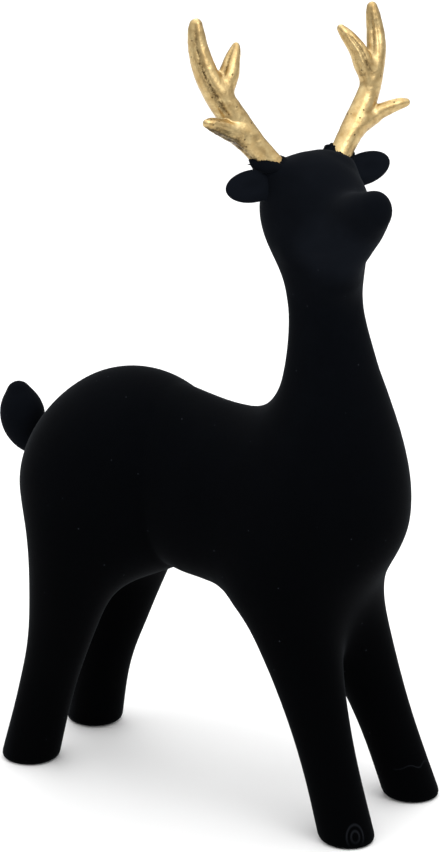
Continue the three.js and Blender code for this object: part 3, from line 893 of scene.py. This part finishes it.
def gold_leaf():
    """Gold leaf on resin: warm pale gold in patches, browner in the flutes and the pits, darkened
    with painted shade where it faces down, with fine wrinkles that catch the light."""
    material, tree, shader, place = new_material("gold_leaf")
    shader.inputs["Metallic"].default_value = 1.0
    patches = put(tree, "TexNoise", {"Vector": place, "Scale": 190, "Detail": 7, "Roughness": 0.62})
    spread = put(tree, "MapRange", {
        "Value": patches.outputs["Fac"],
        "From Min": 0.3,
        "From Max": 0.68,
    })
    colour = put_mix(tree, spread.outputs["Result"], GOLD_SHADE, GOLD_PALE)
    # the worn colour is mixed in by the flutes' wear and by painted shade on the undersides, both patchy
    depth = put(tree, "Attribute", attribute_name="wear")
    grime = put(tree, "TexNoise", {"Vector": place, "Scale": 520, "Detail": 4, "Roughness": 0.7})
    stains = put(tree, "MapRange", {
        "Value": grime.outputs["Fac"],
        "From Min": 0.35,
        "From Max": 0.62,
    })
    worn_and_shaded = put_times(tree, depth.outputs["Fac"], stains.outputs["Result"])
    colour = put_mix(tree, worn_and_shaded, colour, GOLD_WORN_AND_SHADED)
    pits = put_speckles(tree, place, scale=420, size=0.26, share=0.17)
    colour = put_mix(tree, put_times(tree, pits, PIT_STAIN), colour, GOLD_WORN_AND_SHADED)
    tree.links.new(colour, shader.inputs["Base Color"])
    gloss = put(tree, "MapRange", {"Value": grime.outputs["Fac"], "To Min": 0.22, "To Max": 0.5})
    tree.links.new(gloss.outputs["Result"], shader.inputs["Roughness"])
    wrinkles = put(tree, "TexNoise", {"Vector": place, "Scale": 900, "Detail": 5, "Roughness": 0.6})
    pitted = {0: pits, 1: PIT_DEPTH, 2: wrinkles.outputs["Fac"]}
    sunk = put(tree, "Math", pitted, operation="MULTIPLY_ADD")
    relief = put(tree, "Bump", {
        "Height": sunk.outputs["Value"],
        "Strength": 0.4,
        "Distance": 0.0003,
    })
    tree.links.new(relief.outputs["Normal"], shader.inputs["Normal"])
    return material


leaf = gold_leaf()
for side in SIDES:
    reach = np.concatenate([on_side(SIDES[side], stations) for stations in ANTLERS[side].values()])
    low = reach[:, :3].min(axis=0) - ROOM_BELOW
    high = reach[:, :3].max(axis=0) + ROOM_ABOVE
    local_points, quads = skin(lambda local: antler_forms(local, side)[0], low, high, ANTLER_CELL)
    slope = slope_of(lambda local: antler_forms(local, side)[0], local_points)[0]
    # painted shade on the undersides, added to the wear in the flutes
    painted_underside_shade = np.clip(-slope[:, 2] - PAINTED_SHADE_FROM, 0, 1) * UNDERSIDE_PAINTED_SHADE[side]
    wear = FLUTE_WEAR * np.clip(antler_forms(local_points, side)[1], 0, 1) + painted_underside_shade
    points = local_points @ HEAD_AXES.T + HEAD_AT
    smooth_piece(f"gilded_{side}_antler", points, quads, leaf, "gold_leaf", f"{side}_antler", wear=wear)


# Flock round the antlers' feet
# The flock is held by glue that creeps a few millimetres up each antler, so its edge is ragged.
# A clump of it stands behind the left foot, and a stiff sliver sticks out beside the right one.
# each place on the edge: the angle from the front, towards the outside, and its height up the beam
FLOCK_EDGE = {
    "right": [
        (-150, -1.5), (-110, -3.4), (-69, -4.6), (-43, -5), (-12, -4.3), (7, -1.8),
        (23, 0.4), (40, 2.2), (58, 3.5), (72, 5.6), (100, 5.4), (150, 2.5),
    ],
    "left": [
        (-150, -0.5), (-115, 0), (-80, -1.8), (-55, -4.3), (-20, -4.4), (1, -4.9),
        (22, -4.2), (48, -2.4), (62, 0), (75, 0.8), (110, 1), (150, 0.4),
    ],
}
EDGE_STEPS = 360
EDGE_FRAY = 0.15
FRAY_DROP = 1.5
FRAY_WAVES = (4, 70)
# each corner of the band's section: how far out from the gold, and how far down from the edge
EDGE_SECTION = [
    (-0.6, 0), (0.15, 0), (0.6, 0.25), (1.0, 0.9),
    (1.6, 2.2), (2.1, 4.2), (2.2, 7), (-0.6, 7),
]


def fray(angle, seed):
    """A ragged line round a circle: a sum of cosines with seeded phases, each weaker by the root
    of its count over the first one's."""
    counts = np.arange(*FRAY_WAVES)
    phases = np.random.default_rng(seed).uniform(0, 2 * np.pi, len(counts))
    return (np.cos(np.outer(angle, counts) + phases) / np.sqrt(counts / counts[0])).sum(axis=1)


def flock_band(side, seed):
    """A band round the foot of a beam. Its section, carried round the beam's axis, starts at the
    ragged edge and widens downwards into the flock of the head."""
    beam = np.array(on_side(SIDES[side], ANTLERS[side]["beam"]))
    outward = beam[1, :3] - beam[0, :3]
    length = np.linalg.norm(outward)
    outward /= length
    front = np.array([1.0, 0, 0]) - outward[0] * outward
    front /= np.linalg.norm(front)
    across = np.cross(outward, front) * SIDES[side]
    angle = 2 * np.pi * np.arange(EDGE_STEPS) / EDGE_STEPS - np.pi
    places = np.array(FLOCK_EDGE[side], float)
    edge_height = np.interp(np.degrees(angle), places[:, 0], places[:, 1], period=360)
    section = np.array(EDGE_SECTION, float)
    ragged = np.clip(1 - section[:, 1] / FRAY_DROP, 0, 1)
    height = edge_height[:, None] - section[:, 1] + EDGE_FRAY * fray(angle, seed)[:, None] * ragged
    radius = beam[0, 3] + (beam[1, 3] - beam[0, 3]) * height / length + section[None, :, 0]
    ring = np.cos(angle)[:, None] * front + np.sin(angle)[:, None] * across
    points = beam[0, :3] + height[..., None] * outward + radius[..., None] * ring[:, None]
    rows, columns = height.shape
    index = np.arange(rows * columns).reshape(rows, columns)
    faces = np.stack([
        index,
        np.roll(index, -1, axis=0),
        np.roll(np.roll(index, -1, axis=0), -1, axis=1),
        np.roll(index, -1, axis=1),
    ], axis=-1).reshape(-1, 4)
    if SIDES[side] < 0:
        faces = faces[:, ::-1]
    return points.reshape(-1, 3) @ HEAD_AXES.T + HEAD_AT, faces


def ball(columns, rows):
    """Directions over a ball, on a grid of angles round and from the top down, and its quads."""
    around, down = np.meshgrid(
        2 * np.pi * np.arange(columns) / columns,
        np.pi * (np.arange(rows) + 0.5) / rows,
        indexing="ij",
    )
    directions = np.stack([
        np.sin(down) * np.cos(around),
        np.sin(down) * np.sin(around),
        np.cos(down),
    ], axis=-1)
    index = np.arange(columns * rows).reshape(columns, rows)
    turned = np.roll(index, -1, axis=0)
    quads = [index[:, :-1], index[:, 1:], turned[:, 1:], turned[:, :-1]]
    faces = np.stack(quads, axis=-1).reshape(-1, 4).tolist()
    return directions.reshape(-1, 3), [*faces, index[::-1, 0].tolist(), index[:, -1].tolist()]


CLUMP_AT = (-3.2, 13.4, 25.6)
CLUMP_SIZE = (2.6, 2.9, 3.7)
CLUMP_LUMPS = 0.16
CLUMP_GRAIN = 0.1
SLIVER = [(0.3, -26.5, 21.8), (-0.5, -28.6, 22.9), (-1.6, -30.6, 24.1), (-3.1, -32.7, 24.9)]
SLIVER_WIDTH = (2.0, 1.5, 1.0, 0.35)
SLIVER_SIDES = 8
SLIVER_THICKNESS = 0.8


def clump_points():
    """The directions over a ball, each times the clump's size, made lumpy by two noises."""
    directions, faces = ball(columns=56, rows=28)
    lumps = CLUMP_LUMPS * cloud(directions, size=0.8, seed=31)
    grain = CLUMP_GRAIN * cloud(directions, size=0.35, seed=32)
    lumpy = 1 + lumps + grain
    return directions * lumpy[:, None] * CLUMP_SIZE + CLUMP_AT, faces


def sliver_points():
    """A thin cone bent along four places: rings of points round them, each wide as the width there
    and a little less thick, closed at both ends."""
    line = np.array(SLIVER)
    along = np.gradient(line, axis=0)
    along /= np.linalg.norm(along, axis=1)[:, None]
    wide = np.cross(along, [1.0, 0, 0])
    wide /= np.linalg.norm(wide, axis=1)[:, None]
    thick = np.cross(along, wide)
    angle = 2 * np.pi * np.arange(SLIVER_SIDES) / SLIVER_SIDES
    half = 0.5 * np.array(SLIVER_WIDTH)[:, None, None]
    rings = line[:, None] + half * (
        np.cos(angle)[None, :, None] * wide[:, None]
        + SLIVER_THICKNESS * np.sin(angle)[None, :, None] * thick[:, None]
    )
    index = np.arange(len(line) * SLIVER_SIDES).reshape(len(line), SLIVER_SIDES)
    turned = np.roll(index, -1, axis=1)
    faces = np.stack([index[:-1], turned[:-1], turned[1:], index[1:]], axis=-1).reshape(-1, 4).tolist()
    return rings.reshape(-1, 3), [*faces, index[0, ::-1].tolist(), index[-1].tolist()]


# the clump, the sliver and the bands get the same painted light as the flock round them
for name, (points, faces) in (("flock_clump", clump_points()), ("flock_sliver", sliver_points())):
    points = points @ HEAD_AXES.T + HEAD_AT
    smooth_piece(name, points, faces, flock, "black_flock", raised_nap=raised_nap(points))

for side, seed in (("right", 21), ("left", 22)):
    points, faces = flock_band(side, seed)
    smooth_piece(f"flock_edge_{side}", points, faces, flock, "black_flock", raised_nap=raised_nap(points))
